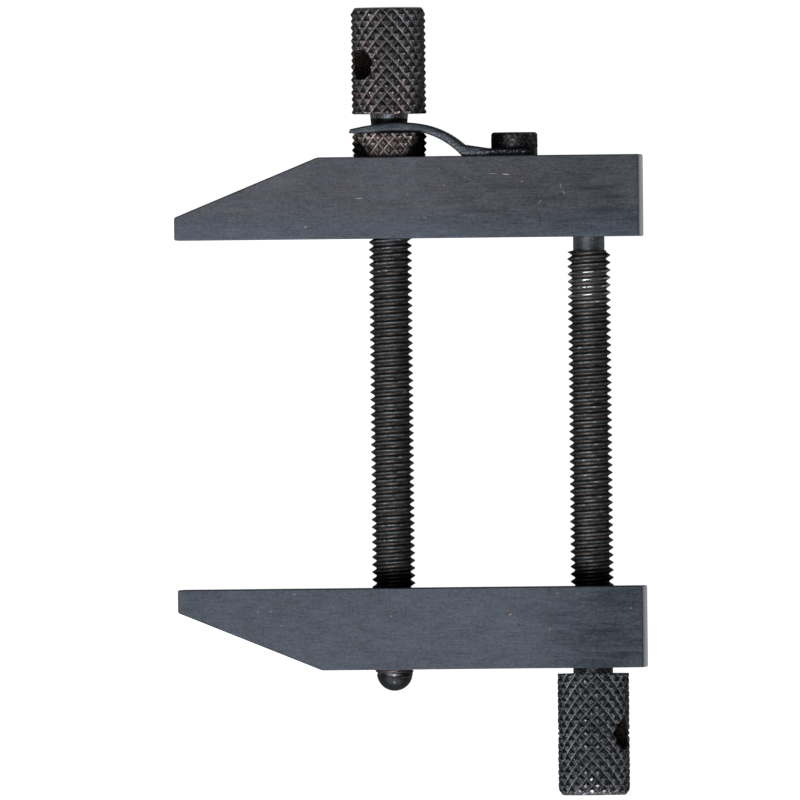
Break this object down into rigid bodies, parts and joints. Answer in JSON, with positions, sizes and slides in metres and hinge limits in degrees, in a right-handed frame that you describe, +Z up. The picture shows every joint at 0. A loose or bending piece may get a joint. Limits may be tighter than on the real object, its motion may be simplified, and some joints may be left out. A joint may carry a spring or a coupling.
{
  "type": "toolmakers parallel clamp",
  "caption": "Small black-oxide toolmakers clamp: bevel-nosed steel jaws kept parallel by threaded screws with knurled heads, for holding workpieces while marking out or drilling.",
  "frame": {"origin": "under the middle of the whole clamp, on the surface that the jaws' side faces lie on", "axes": "+X runs along the jaws from the tips to the heel, +Y along the screws towards the middle screw's head, +Z up across the jaws"},
  "size_m": [0.0622, 0.1054, 0.0109],
  "materials": {
    "jaw_steel": "satin black oxide, blue-grey, with fine grinding lines along the jaws",
    "screw_steel": "black oxide with brownish highlights on the knurl and thread crests",
    "clip_steel": "blue-black spring steel",
    "clip_screw_steel": "black oxide"
  },
  "bodies": {
    "upper_jaw": {"upper_jaw": "jaw_steel", "spring_clip": "clip_steel", "clip_screw": "clip_screw_steel"},
    "middle_screw": {"middle_screw": "screw_steel"},
    "outer_screw": {"outer_screw": "screw_steel"},
    "lower_jaw": {"lower_jaw": "jaw_steel"}
  },
  "joints": [
    {"name": "jaw_slide", "type": "slide", "parent": "upper_jaw", "child": "lower_jaw", "axis": [0, 1, 0], "range_m": [-0.0007, 0.0465]},
    {"name": "middle_screw_turn", "type": "hinge", "parent": "upper_jaw", "child": "middle_screw", "pos_m": [-0.0025, 0, 0.00545], "axis": [0, -1, 0], "range_deg": [-253, 16741]},
    {"name": "outer_screw_turn", "type": "hinge", "parent": "upper_jaw", "child": "outer_screw", "pos_m": [0.024, 0, 0.00545], "axis": [0, -1, 0], "range_deg": [-253, 16741]}
  ],
  "couplings": [
    {"joint": "middle_screw_turn", "follows": "jaw_slide", "rad_per_m": 6283.2},
    {"joint": "outer_screw_turn", "follows": "jaw_slide", "rad_per_m": 6283.2}
  ]
}
